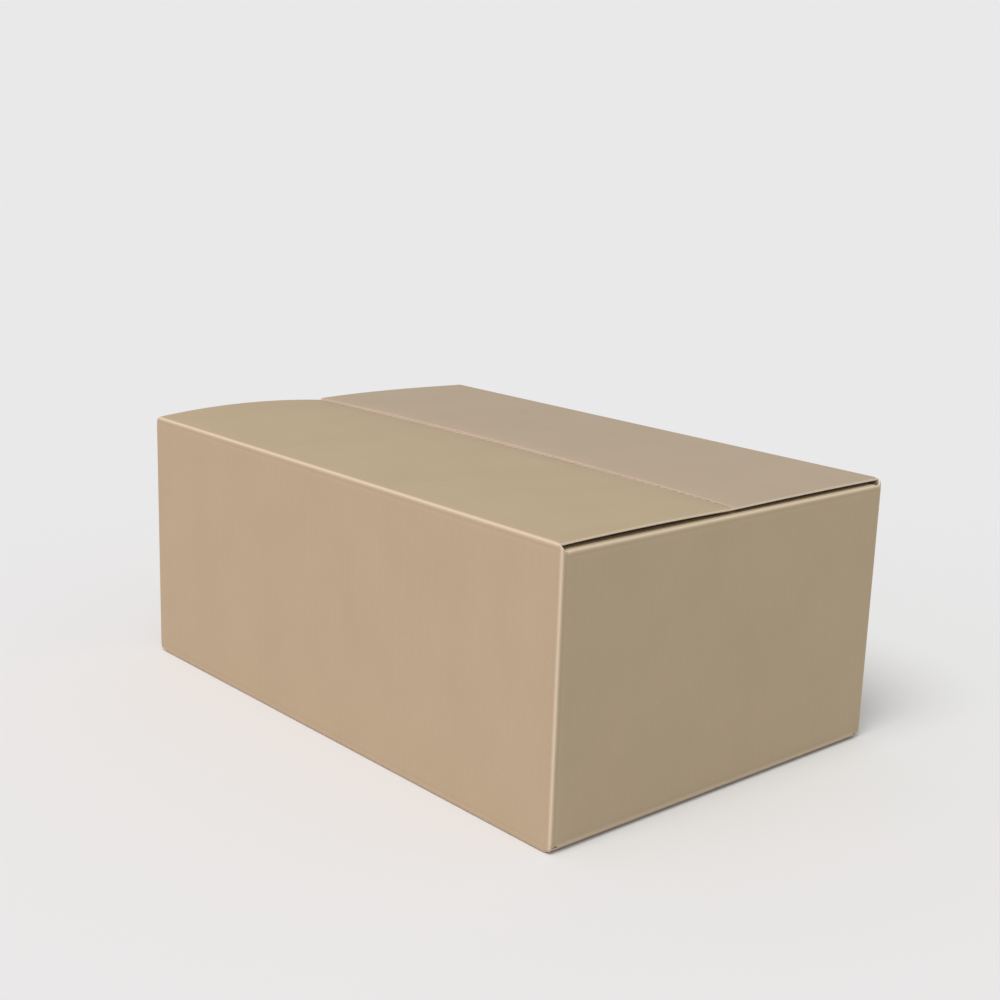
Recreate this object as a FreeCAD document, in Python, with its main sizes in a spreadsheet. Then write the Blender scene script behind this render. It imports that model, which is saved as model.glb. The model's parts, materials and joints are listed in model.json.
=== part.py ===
import FreeCAD, Part
import os
import Sketcher

# Closed cardboard carton: one folded sheet of single-wall corrugated board with two hinged outer top flaps.
# Millimetres. The origin is the middle of the base, X runs along the long sides and Z is up.
# The front is the long side at -Y.

# Driving dimensions, outside sizes of the closed carton first
DIMENSIONS = {
    "carton_length": 480.0,
    "carton_width": 320.0,
    "carton_height": 200.0,
    "board": 4.0,
    # outside radius of every crease
    "fold_radius": 3.0,
    # the inner flaps are cut this deep from the outside of their end panel
    "inner_flap_depth": 160.0,
    # air between the free edges of two outer flaps that meet
    "seam_gap": 1.0,
    # how far an outer flap's ends stand inside the outside of the end panels
    "flap_setback": 3.0,
    # air between an inner flap's sides and the long walls
    "inner_flap_gap": 1.0,
    # air between an outer flap and the wall and inner flaps under it
    "lay_gap": 0.3,
    # rise of each closed outer flap above its flat place, at mid depth
    "front_bow": 3.0,
    "rear_bow": 2.0,
    # glue tab inside the rear left corner
    "tab_width": 35.0,
    "tab_taper": 8.0,
    # air between the tab's ends and the inner flaps
    "tab_gap": 2.0,
}

ORIGIN_POINT = (-1, 1)


def make_sheet(doc):
    """Spreadsheet of the driving dimensions, one alias for each."""
    sheet = doc.addObject("Spreadsheet::Sheet", "dims")
    for row, (name, value) in enumerate(DIMENSIONS.items(), start=1):
        sheet.set(f"A{row}", name)
        sheet.set(f"B{row}", str(value))
        sheet.setAlias(f"B{row}", name)
    doc.recompute()
    return sheet


def number(sheet, expression):
    """Value of an expression on the sheet, in millimetres."""
    return float(sheet.evalExpression(expression))


def make_body(doc, name):
    """Empty body for one sub-part, at the model's origin."""
    body = doc.addObject("PartDesign::Body", name)
    body.Label = name
    body.Placement = FreeCAD.Placement()
    return body


def new_sketch(body, name, plane, offset="0"):
    """Sketch on one of the body's own origin planes, moved along the plane's normal."""
    sketch = body.newObject("Sketcher::SketchObject", name)
    face = next(part for part in body.Origin.OriginFeatures if part.Role == plane)
    sketch.AttachmentSupport = [(face, "")]
    sketch.MapMode = "FlatFace"
    sketch.setExpression("AttachmentOffset.Base.z", offset)
    return sketch


def bind(sketch, constraint, expression):
    """Add a dimension to a sketch and tie it to an expression."""
    index = sketch.addConstraint(constraint)
    sketch.setExpression(f"Constraints[{index}]", expression)


def place_point(sketch, sheet, point, across, up):
    """Fix a sketch point by its two distances from the origin."""
    for kind, expression in (("DistanceX", across), ("DistanceY", up)):
        value = number(sheet, expression)
        bind(sketch, Sketcher.Constraint(kind, *ORIGIN_POINT, *point, value), expression)


def square_outline(sketch, sheet, sides, rounds=()):
    """Closed outline of upright and level lines in turn, such as a folded board's section.

    sides holds one expression for each line, an upright one's place across first and then a
    level one's height. rounds lists the corners that are rounded, by the line before each.
    """
    values = [number(sheet, side) for side in sides]
    radius = number(sheet, "dims.fold_radius")
    count = len(sides)

    def corner(index):
        here, after = values[index % count], values[(index + 1) % count]
        return FreeCAD.Vector(here, after, 0) if index % 2 == 0 else FreeCAD.Vector(after, here, 0)

    def trimmed(index, at, towards):
        if index % count not in rounds:
            return at
        return at + (towards - at).normalize() * radius

    lines = []
    for index, side in enumerate(sides):
        start, end = corner(index - 1), corner(index)
        first = trimmed(index - 1, start, end)
        last = trimmed(index, end, start)
        line = sketch.addGeometry(Part.LineSegment(first, last))
        upright = index % 2 == 0
        sketch.addConstraint(Sketcher.Constraint("Vertical" if upright else "Horizontal", line))
        kind = "DistanceX" if upright else "DistanceY"
        bind(sketch, Sketcher.Constraint(kind, *ORIGIN_POINT, line, 1, values[index]), side)
        lines.append(line)
    for index in range(count):
        line, following = lines[index], lines[(index + 1) % count]
        if index in rounds:
            arc, arc_start, arc_end = round_corner(sketch, corner(index), line, following)
            sketch.addConstraint(Sketcher.Constraint("Tangent", line, 2, arc, arc_start))
            sketch.addConstraint(Sketcher.Constraint("Tangent", arc, arc_end, following, 1))
            bind(sketch, Sketcher.Constraint("Radius", arc, radius), "dims.fold_radius")
        else:
            sketch.addConstraint(Sketcher.Constraint("Coincident", line, 2, following, 1))


def round_corner(sketch, corner, line, following):
    """Arc between the end of one line and the start of the next, with the numbers of its two ends."""
    first = sketch.Geometry[line].EndPoint
    last = sketch.Geometry[following].StartPoint
    centre = first + last - corner
    middle = centre + (corner - centre).normalize() * (first - centre).Length
    # a sketch's arcs run anticlockwise, so a clockwise corner is drawn from its last point
    if (first - centre).cross(last - centre).z > 0:
        return sketch.addGeometry(Part.Arc(first, middle, last)), 1, 2
    return sketch.addGeometry(Part.Arc(last, middle, first)), 2, 1


def corner_outline(sketch, sheet, corners):
    """Closed outline of straight lines through corners that are each placed across and up."""
    points = [FreeCAD.Vector(number(sheet, x), number(sheet, y), 0) for x, y in corners]
    lines = []
    for index, point in enumerate(points):
        line = Part.LineSegment(point, points[(index + 1) % len(points)])
        lines.append(sketch.addGeometry(line))
    for index, line in enumerate(lines):
        following = lines[(index + 1) % len(lines)]
        sketch.addConstraint(Sketcher.Constraint("Coincident", line, 2, following, 1))
        place_point(sketch, sheet, (line, 1), *corners[index])


def pad(body, sketch, name, length, both_ways=True):
    """Pad of a sketch, by an expression, evenly both ways or along the sketch's normal."""
    feature = body.newObject("PartDesign::Pad", name)
    feature.Profile = sketch
    feature.SideType = "Symmetric" if both_ways else "One side"
    feature.setExpression("Length", length)
    return feature


def mirror(doc, body, feature, name, plane):
    """Copy of a feature on the other side of one of the body's origin planes."""
    doc.recompute()
    copy = body.newObject("PartDesign::Mirrored", name)
    copy.Originals = [feature]
    face = next(part for part in body.Origin.OriginFeatures if part.Role == plane)
    copy.MirrorPlane = (face, [""])
    body.Tip = copy
    doc.recompute()


# Places that several outlines share, as expressions on the sheet
END_OUTSIDE = "dims.carton_length / 2"
END_INSIDE = "dims.carton_length / 2 - dims.board"
SIDE_OUTSIDE = "dims.carton_width / 2"
SIDE_INSIDE = "dims.carton_width / 2 - dims.board"
FREE_EDGE = "dims.seam_gap / 2"
WALL_TOP = "dims.carton_height - dims.board - dims.lay_gap"
INNER_FLAP_EDGE = "dims.carton_length / 2 - dims.inner_flap_depth"
OUTER_FLAP_LENGTH = "dims.carton_length - 2 * dims.flap_setback"
INNER_FLAP_WIDTH = "dims.carton_width - 2 * dims.board - 2 * dims.inner_flap_gap"


def add_wall_ring(body, sheet):
    """The four walls, creased round three corners and square at the rear left, at the glued joint."""
    sketch = new_sketch(body, "wall_outline", "XY_Plane", "dims.board")
    outside = [END_OUTSIDE, SIDE_OUTSIDE, f"-({END_OUTSIDE})", f"-({SIDE_OUTSIDE})"]
    inside = [END_INSIDE, SIDE_INSIDE, f"-({END_INSIDE})", f"-({SIDE_INSIDE})"]
    creased_corners = (0, 2, 3)
    square_outline(sketch, sheet, outside, rounds=creased_corners)
    square_outline(sketch, sheet, inside)
    pad(body, sketch, "walls", f"{WALL_TOP} - dims.board", both_ways=False)


def add_end_panels(doc, body, sheet):
    """Each end wall with its inner flaps, one folded in at the top and one at the bottom."""
    sketch = new_sketch(body, "end_section", "XZ_Plane")
    # upright and level lines in turn, from the inner flaps' free edge round the outside and back inside
    sides = [
        INNER_FLAP_EDGE,
        WALL_TOP,
        END_OUTSIDE,
        "dims.board",
        INNER_FLAP_EDGE,
        "2 * dims.board",
        END_INSIDE,
        f"{WALL_TOP} - dims.board",
    ]
    square_outline(sketch, sheet, sides, rounds=(1, 2))
    panel = pad(body, sketch, "end_panel", INNER_FLAP_WIDTH)
    mirror(doc, body, panel, "end_panel_pair", "YZ_Plane")


def add_long_panels(doc, body, sheet):
    """Each long wall with its outer flap folded in under the base."""
    sketch = new_sketch(body, "side_section", "YZ_Plane")
    sides = [
        SIDE_OUTSIDE,
        "0",
        FREE_EDGE,
        "dims.board",
        SIDE_INSIDE,
        WALL_TOP,
    ]
    square_outline(sketch, sheet, sides, rounds=(0,))
    panel = pad(body, sketch, "long_panel", OUTER_FLAP_LENGTH)
    mirror(doc, body, panel, "long_panel_pair", "XZ_Plane")


def add_glue_tab(body, sheet):
    """Tab of the left end wall, glued flat inside the rear wall, with tapered ends."""
    sketch = new_sketch(body, "tab_outline", "XZ_Plane", f"-({SIDE_INSIDE})")
    root = f"-({END_INSIDE})"
    tip = f"{root} + dims.tab_width"
    low = "2 * dims.board + dims.tab_gap"
    high = f"{WALL_TOP} - dims.board - dims.tab_gap"
    corners = [
        (root, low),
        (tip, f"{low} + dims.tab_taper"),
        (tip, f"{high} - dims.tab_taper"),
        (root, high),
    ]
    corner_outline(sketch, sheet, corners)
    pad(body, sketch, "glue_tab", "dims.board", both_ways=False)


def make_carton_body(doc, sheet):
    """The folded sheet without its outer top flaps."""
    body = make_body(doc, "carton_body")
    add_wall_ring(body, sheet)
    add_end_panels(doc, body, sheet)
    add_long_panels(doc, body, sheet)
    add_glue_tab(body, sheet)
    return body


def bowed_outline(sketch, sheet, left, right, bow):
    """Section of a board that arches by bow between two top corners at the carton's height."""
    half = f"(({right}) - ({left})) / 2"
    radius = f"(({half}) * ({half}) + {bow} * {bow}) / (2 * {bow})"
    top = "dims.carton_height"
    start = FreeCAD.Vector(number(sheet, left), number(sheet, top), 0)
    end = FreeCAD.Vector(number(sheet, right), number(sheet, top), 0)
    size = number(sheet, radius)
    board = number(sheet, "dims.board")
    centre = (start + end) / 2 + FreeCAD.Vector(0, number(sheet, bow) - size, 0)
    under_start = centre + (start - centre).normalize() * (size - board)
    under_end = centre + (end - centre).normalize() * (size - board)
    up = FreeCAD.Vector(0, 1, 0)
    # a sketch's arcs run anticlockwise, so point 1 of each is its right end and point 2 its left
    over = sketch.addGeometry(Part.Arc(end, centre + up * size, start))
    under = sketch.addGeometry(Part.Arc(under_end, centre + up * (size - board), under_start))
    left_end = sketch.addGeometry(Part.LineSegment(start, under_start))
    right_end = sketch.addGeometry(Part.LineSegment(end, under_end))
    for line, arc_point in ((left_end, 2), (right_end, 1)):
        sketch.addConstraint(Sketcher.Constraint("Coincident", line, 1, over, arc_point))
        sketch.addConstraint(Sketcher.Constraint("Coincident", line, 2, under, arc_point))
        sketch.addConstraint(Sketcher.Constraint("PointOnObject", over, 3, line))
    sketch.addConstraint(Sketcher.Constraint("Coincident", over, 3, under, 3))
    place_point(sketch, sheet, (over, 2), left, top)
    place_point(sketch, sheet, (over, 1), right, top)
    bind(sketch, Sketcher.Constraint("Radius", over, size), radius)
    bind(sketch, Sketcher.Constraint("Radius", under, size - board), f"{radius} - dims.board")


def edge_along_x(shape, across, up):
    """Name of the edge that runs along X through a place in the YZ plane."""
    for index, edge in enumerate(shape.Edges, start=1):
        ends = [vertex.Point for vertex in edge.Vertexes]
        if all(abs(end.y - across) + abs(end.z - up) < Part.Precision.approximation() for end in ends):
            return f"Edge{index}"
    raise ValueError(f"no edge along X at y {across}, z {up}")


def make_outer_flap(doc, sheet, name, crease, free_edge, bow):
    """One outer top flap, closed, arched a little, with its crease rounded."""
    body = make_body(doc, name)
    sketch = new_sketch(body, f"{name}_section", "YZ_Plane")
    left, right = sorted((crease, free_edge), key=lambda place: number(sheet, place))
    bowed_outline(sketch, sheet, left, right, bow)
    plate = pad(body, sketch, f"{name}_plate", OUTER_FLAP_LENGTH)
    doc.recompute()
    fold = body.newObject("PartDesign::Fillet", f"{name}_fold")
    corner = edge_along_x(plate.Shape, number(sheet, crease), number(sheet, "dims.carton_height"))
    fold.Base = (plate, [corner])
    fold.setExpression("Radius", "dims.fold_radius")
    return body


def check(doc, bodies):
    """Stop if any object failed or any sub-part isn't one sound solid."""
    for item in doc.Objects:
        if {"Invalid", "Error"} & set(item.State):
            raise RuntimeError(f"{item.Name} failed to recompute: {item.State}")
    for body in bodies:
        if body.Shape.isNull() or not body.Shape.isValid() or len(body.Shape.Solids) != 1:
            raise RuntimeError(f"{body.Label} isn't one sound solid")


def main():
    """Build every sub-part and write each to its own file."""
    doc = FreeCAD.newDocument("carton")
    sheet = make_sheet(doc)
    bodies = [
        make_carton_body(doc, sheet),
        make_outer_flap(
            doc, sheet, "front_outer_flap", f"-({SIDE_OUTSIDE})", f"-({FREE_EDGE})", "dims.front_bow"
        ),
        make_outer_flap(doc, sheet, "rear_outer_flap", SIDE_OUTSIDE, FREE_EDGE, "dims.rear_bow"),
    ]
    doc.recompute()
    check(doc, bodies)
    os.makedirs("parts", exist_ok=True)
    for body in bodies:
        body.Shape.exportStep(f"parts/{body.Label}.step")
        box = body.Shape.BoundBox
        print(body.Label, round(body.Shape.Volume), [round(v, 3) for v in (box.XMin, box.YMin, box.ZMin)],
              [round(v, 3) for v in (box.XMax, box.YMax, box.ZMax)])


main()
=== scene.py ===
import json
import logging
import math
from dataclasses import dataclass, replace
from enum import Enum
from typing import Any, Callable

import bmesh
import bpy
from mathutils import Matrix, Vector
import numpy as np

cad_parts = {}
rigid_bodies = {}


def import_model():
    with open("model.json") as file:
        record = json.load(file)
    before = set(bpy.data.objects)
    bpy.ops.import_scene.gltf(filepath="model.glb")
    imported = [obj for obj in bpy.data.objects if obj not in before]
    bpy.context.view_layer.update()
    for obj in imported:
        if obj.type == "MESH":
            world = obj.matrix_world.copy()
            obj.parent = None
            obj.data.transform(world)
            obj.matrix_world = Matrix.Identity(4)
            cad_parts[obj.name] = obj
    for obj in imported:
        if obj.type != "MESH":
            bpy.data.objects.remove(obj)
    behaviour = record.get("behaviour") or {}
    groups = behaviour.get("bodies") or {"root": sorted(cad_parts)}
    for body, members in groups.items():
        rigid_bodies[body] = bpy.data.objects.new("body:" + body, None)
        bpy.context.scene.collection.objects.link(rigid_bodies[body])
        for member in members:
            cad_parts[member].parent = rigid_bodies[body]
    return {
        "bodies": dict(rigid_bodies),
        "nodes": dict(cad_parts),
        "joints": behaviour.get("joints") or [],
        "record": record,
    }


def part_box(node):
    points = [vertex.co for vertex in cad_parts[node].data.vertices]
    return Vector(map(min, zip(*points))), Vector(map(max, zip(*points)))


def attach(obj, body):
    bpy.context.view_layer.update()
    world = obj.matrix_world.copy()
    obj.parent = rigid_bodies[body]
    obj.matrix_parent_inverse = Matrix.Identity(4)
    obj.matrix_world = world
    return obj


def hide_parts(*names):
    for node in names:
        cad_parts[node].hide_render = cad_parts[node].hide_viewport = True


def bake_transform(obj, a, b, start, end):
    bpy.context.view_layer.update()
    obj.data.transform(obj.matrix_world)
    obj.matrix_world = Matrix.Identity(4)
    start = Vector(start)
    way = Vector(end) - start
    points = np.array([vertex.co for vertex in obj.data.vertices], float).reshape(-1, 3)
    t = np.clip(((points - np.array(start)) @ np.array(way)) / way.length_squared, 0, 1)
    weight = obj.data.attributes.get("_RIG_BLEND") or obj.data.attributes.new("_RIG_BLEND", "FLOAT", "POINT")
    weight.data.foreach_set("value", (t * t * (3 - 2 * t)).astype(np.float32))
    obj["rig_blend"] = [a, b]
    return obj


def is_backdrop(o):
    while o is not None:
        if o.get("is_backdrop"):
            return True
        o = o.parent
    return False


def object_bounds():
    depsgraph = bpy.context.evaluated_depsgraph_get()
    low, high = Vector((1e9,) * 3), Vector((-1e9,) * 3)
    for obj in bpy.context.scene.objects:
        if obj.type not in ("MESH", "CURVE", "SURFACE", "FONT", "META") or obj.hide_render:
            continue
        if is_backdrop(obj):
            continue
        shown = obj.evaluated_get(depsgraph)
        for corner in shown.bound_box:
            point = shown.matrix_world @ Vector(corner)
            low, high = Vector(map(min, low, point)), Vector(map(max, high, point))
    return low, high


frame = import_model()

# A closed cardboard carton, folded from one sheet of single-wall corrugated board.
# Metres, in the frame's own axes: X along the long sides, the front at -Y, Z up from the base.
# The sheet is laid out flat as a grid, slotted and then folded, so each panel keeps its place on the blank.

log = logging.getLogger("carton")
CAD_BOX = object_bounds()
Colour = tuple[float, float, float, float]
MM = 0.001
UP = Vector((0.0, 0.0, 1.0))

# A distance beyond the reach of every crease and cut edge.
FAR = 1.0

# Lines of the blank that are closer than this are one line.
SAME_LINE = 1e-6

# Share of the way round a crease at which the slots end.
SLOT_END = 0.5

# Layers of the mesh: the materials read the first three, and folding reads the last two.
UV_LAYER = "blank"
# The crease layer holds the scuffing at cut edges and the paleness along crease ridges, partly a painted
# highlight.
CREASE_LAYER = "crease"
# The grey layer holds the painted shade of the rear top flap.
FLAP_SHADE_LAYER = "grey"
COLUMN_LAYER = "column"
ROW_LAYER = "row"

# Sockets of a Mix node that blends colours, by number, because its other data types share their names.
MIX_SHARE, MIX_FIRST, MIX_SECOND, MIX_RESULT = 0, 6, 7, 2


def smooth(share: float) -> float:
    """Ease a share from 0 to 1, held at both ends."""
    held = min(1.0, max(0.0, share))
    return held * held * (3.0 - 2.0 * held)


def mix(first: float, second: float, share: float) -> float:
    """Value that lies a share of the way from first to second."""
    return first + (second - first) * share


def stand(name: str, data: bpy.types.ID) -> bpy.types.Object:
    """Put a mesh, a lamp or a camera in the scene.

    Args:
        name: the object's name.
        data: what the object holds.
    Returns:
        The new object, at the origin.
    """
    placed = bpy.data.objects.new(name, data)
    bpy.context.scene.collection.objects.link(placed)
    return placed


class Panel(Enum):
    """The panels of the blank in their order along the sheet."""

    TAB = "tab"
    LEFT_END = "left_end"
    FRONT = "front"
    RIGHT_END = "right_end"
    REAR = "rear"

    @property
    def long(self) -> bool:
        """Whether the panel is a long wall, with outer flaps."""
        return self in (Panel.FRONT, Panel.REAR)


class Ply(Enum):
    """The three papers of the board, from the outside in."""

    OUTER_LINER = 0
    FLUTING = 1
    INNER_LINER = 2


@dataclass(frozen=True)
class Board:
    """Single-wall corrugated board: two flat liners glued to a fluted paper.

    Scoring crushes it beside a crease and presses a groove there, and the knife pinches it at a cut edge.
    """

    thickness: float
    liner: float = 0.45 * MM
    fluting: float = 0.3 * MM
    pitch: float = 7.5 * MM
    wave_steps: int = 6
    crease_share: float = 0.56
    crease_reach: float = 6.0 * MM
    groove_depth: float = 0.2 * MM
    groove_place: float = 1.6 * MM
    groove_width: float = 0.9 * MM
    # Width of the pale line along a crease's ridge: stretched fibres, and a painted highlight of the fold
    # lit from above.
    ridge_width: float = 0.95 * MM
    edge_share: float = 0.55
    edge_reach: float = 3.2 * MM
    edge_packing: float = 0.8
    edge_sink: float = 0.5
    base_sink: float = 1.0
    edge_wear: float = 0.55
    edge_wear_width: float = 0.7 * MM

    def depths(self, ply: Ply, along: float, total: float, edge_distance: float) -> tuple[float, float]:
        """Depths of a paper's two faces below the board's outside.

        Args:
            ply: the paper.
            along: place across the flutes.
            total: the board's thickness there.
            edge_distance: distance to the edge cut across the flutes, where they are packed together.
        Returns:
            The depth of its outward face and of its inward face.
        """
        if ply is Ply.OUTER_LINER:
            return 0.0, self.liner
        if ply is Ply.INNER_LINER:
            return total - self.liner, total
        room = total - 2.0 * self.liner - self.fluting
        packed = room * self.edge_packing * (1.0 - smooth(edge_distance / self.edge_reach))
        half = (self.fluting + packed) / 2.0
        middle = total / 2.0 + (room - packed) / 2.0 * math.cos(2.0 * math.pi * along / self.pitch)
        return middle - half, middle + half

    def crush(self, bend_distance: float) -> float:
        """Share of the thickness that scoring leaves, at a distance from a crease's bend."""
        return mix(self.crease_share, 1.0, smooth(bend_distance / self.crease_reach))

    def pinch(self, edge_distance: float) -> float:
        """Share of the thickness that the knife leaves, at a distance from a cut edge."""
        return mix(self.edge_share, 1.0, smooth(edge_distance / self.edge_reach))

    def groove(self, bend_distance: float) -> float:
        """Depth of the scored groove beside a crease, at a distance from its bend."""
        offset = (bend_distance - self.groove_place) / self.groove_width
        return self.groove_depth * math.exp(-(offset ** 2))

    def wear_and_highlight(self, ridge_distance: float, edge_distance: float) -> float:
        """How much the paper is scuffed at cut edges and paler along crease ridges: stretched fibres there,
        with a painted highlight of the fold catching the light from above.

        Args:
            ridge_distance: distance to the nearest crease's ridge.
            edge_distance: distance to the nearest cut edge.
        Returns:
            The scuffing and painted highlight, from 0 to 1.
        """
        # Along the ridge: stretched fibres, and a painted highlight where the rounded fold catches the
        # light.
        ridge = math.exp(-((ridge_distance / self.ridge_width) ** 2))
        edge = self.edge_wear * math.exp(-((edge_distance / self.edge_wear_width) ** 2))
        return max(ridge, edge)

    def sink(self, side: int) -> float:
        """Share of the pinch that the outside takes, which is all of it where the carton stands on it."""
        return self.base_sink if side < 0 else self.edge_sink


@dataclass(frozen=True)
class CartonSize:
    """Sizes of the closed carton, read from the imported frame."""

    length: float
    width: float
    height: float
    wall_top: float
    flap_end: float
    flap_edge: float
    fold: float = 3.0 * MM
    pressed_fold: float = 1.2 * MM
    inner_flap_depth: float = 160.0 * MM
    inner_flap_gap: float = 1.0 * MM
    board: float = 4.0 * MM
    slit: float = 0.3 * MM
    joint_setback: float = 0.5 * MM
    tab_width: float = 35.0 * MM
    tab_taper: float = 8.0 * MM
    tab_gap: float = 2.0 * MM
    hinge_strip: float = 7.0 * MM
    hinge_margin: float = 2.0 * MM
    rounding: float = 0.1 * MM

    @property
    def ridge(self) -> float:
        """Half of a bend's length, from its start to its ridge."""
        return self.fold * math.pi / 4.0

    @property
    def outer_flap_depth(self) -> float:
        """Distance from a long wall's outside to its flaps' free edges."""
        return self.width / 2.0 - self.flap_edge

    @classmethod
    def from_frame(cls, loaded: dict[str, Any]) -> "CartonSize":
        """Read the outside sizes from the frame's nodes and its front hinge.

        Args:
        Returns:
            The carton's sizes.
        """
        low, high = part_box("carton_body")
        _, flap_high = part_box("front_outer_flap")
        hinge = next(joint for joint in loaded["joints"] if joint["name"] == "front_flap_crease")
        return cls(
            length=high.x - low.x,
            width=high.y - low.y,
            height=hinge["pos_m"][2],
            wall_top=high.z,
            flap_end=flap_high.x,
            flap_edge=-flap_high.y,
        )


@dataclass(frozen=True)
class Column:
    """A line of the blank that runs along the flutes."""

    along: float
    panel: Panel
    place: Vector
    outward: Vector
    bend_distance: float
    ridge_distance: float
    slot_distance: float
    post: bool
    following: Panel
    share: float


@dataclass(frozen=True)
class Row:
    """A line of the blank that runs across the flutes, as it lies on one kind of panel."""

    up: float
    inset: float
    height: float
    straight_height: float
    turn: float
    side: int
    bend_distance: float
    ridge_distance: float
    edge_distance: float

    @property
    def out(self) -> float:
        """How far the board faces outwards here."""
        return math.cos(self.turn * math.pi / 2.0)

    @property
    def lift(self) -> float:
        """How far the board faces up, or down where negative."""
        return self.side * math.sin(self.turn * math.pi / 2.0)


@dataclass(frozen=True)
class Bend:
    """A crease between a wall and a flap.

    Its side is 1 at the top and -1 at the bottom, and its level is the height of the flap's outside.
    """

    side: int
    level: float
    radius: float

    @property
    def ridge(self) -> float:
        """Half of the bend's length, from its start to its ridge."""
        return self.radius * math.pi / 4.0

    @property
    def root(self) -> float:
        """Height at which the wall starts to bend."""
        return self.level - self.side * self.radius

    def bend_row(self, start: float, share: float) -> Row:
        """A row on the bend itself.

        Args:
            start: place along the sheet at which the bend starts.
            share: how far round the bend the row lies, from 0 to 1.
        Returns:
            The row.
        """
        angle = share * math.pi / 2.0
        straight = self.side * 2.0 * self.ridge * share
        return Row(
            up=start + straight,
            inset=self.radius - self.radius * math.cos(angle),
            height=self.root + self.side * self.radius * math.sin(angle),
            straight_height=self.root + straight,
            turn=share,
            side=self.side,
            bend_distance=0.0,
            ridge_distance=abs(2.0 * share - 1.0) * self.ridge,
            edge_distance=FAR,
        )

    def flap_row(self, start: float, distance: float, reach: float) -> Row:
        """A row on the flap.

        Args:
            start: place along the sheet at which the bend starts.
            distance: how far beyond the bend the row lies.
            reach: how far beyond the bend the free edge lies.
        Returns:
            The row.
        """
        straight = self.side * (2.0 * self.ridge + distance)
        return Row(
            up=start + straight,
            inset=self.radius + distance,
            height=self.level,
            straight_height=self.root + straight,
            turn=1.0,
            side=self.side,
            bend_distance=distance,
            ridge_distance=distance + self.ridge,
            edge_distance=reach - distance,
        )


@dataclass(frozen=True)
class Detail:
    """How finely a paper's grid is divided: at even steps, and closer beside bends and cut edges."""

    step: float
    near_bend: tuple[float, ...]
    near_edge: tuple[float, ...]
    flap_lines: int
    wall_lines: int
    bend_steps: int

    @classmethod
    def of_liner(cls, hinge_strip: float) -> "Detail":
        """Detail of a flat liner, which shows every crease and edge.

        Args:
            hinge_strip: width of the strip beside a crease that a flap turns on.
        Returns:
            The detail.
        """
        return cls(
            step=20.0 * MM,
            near_bend=(0.8 * MM, 1.6 * MM, 2.4 * MM, 3.2 * MM, 4.5 * MM, hinge_strip),
            near_edge=(0.8 * MM, 1.6 * MM, 3.2 * MM),
            flap_lines=8,
            wall_lines=6,
            bend_steps=6,
        )

    @classmethod
    def of_fluting(cls, hinge_strip: float, step: float) -> "Detail":
        """Detail of the body's fluted paper, coarse along the flutes because only its edges show.

        Args:
            hinge_strip: width of the strip beside a crease that a flap turns on.
            step: distance between the even lines, a share of a flute.
        Returns:
            The detail.
        """
        return cls(
            step=step,
            near_bend=(2.4 * MM, hinge_strip),
            near_edge=(1.2 * MM, 3.2 * MM),
            flap_lines=2,
            wall_lines=1,
            bend_steps=4,
        )


@dataclass(frozen=True)
class FlapShape:
    """How a closed outer flap rises above its flat place, in metres."""

    arch_left: float
    arch_right: float
    edge_left: float
    edge_middle: float
    edge_right: float

    def rise(self, across: float, share: float) -> float:
        """Rise at a place of the flap.

        Args:
            across: place along the crease, from -1 at the left end to 1 at the right.
            share: place from the crease, 0, to the free edge, 1.
        Returns:
            The height above the flat flap.
        """
        right = (across + 1.0) / 2.0
        arch = mix(self.arch_left, self.arch_right, right)
        ends = mix(self.edge_left, self.edge_right, right)
        bow = self.edge_middle - (self.edge_left + self.edge_right) / 2.0
        edge = ends + bow * (1.0 - across * across)
        return arch * 4.0 * share * (1.0 - share) + edge * smooth(share)


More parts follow.
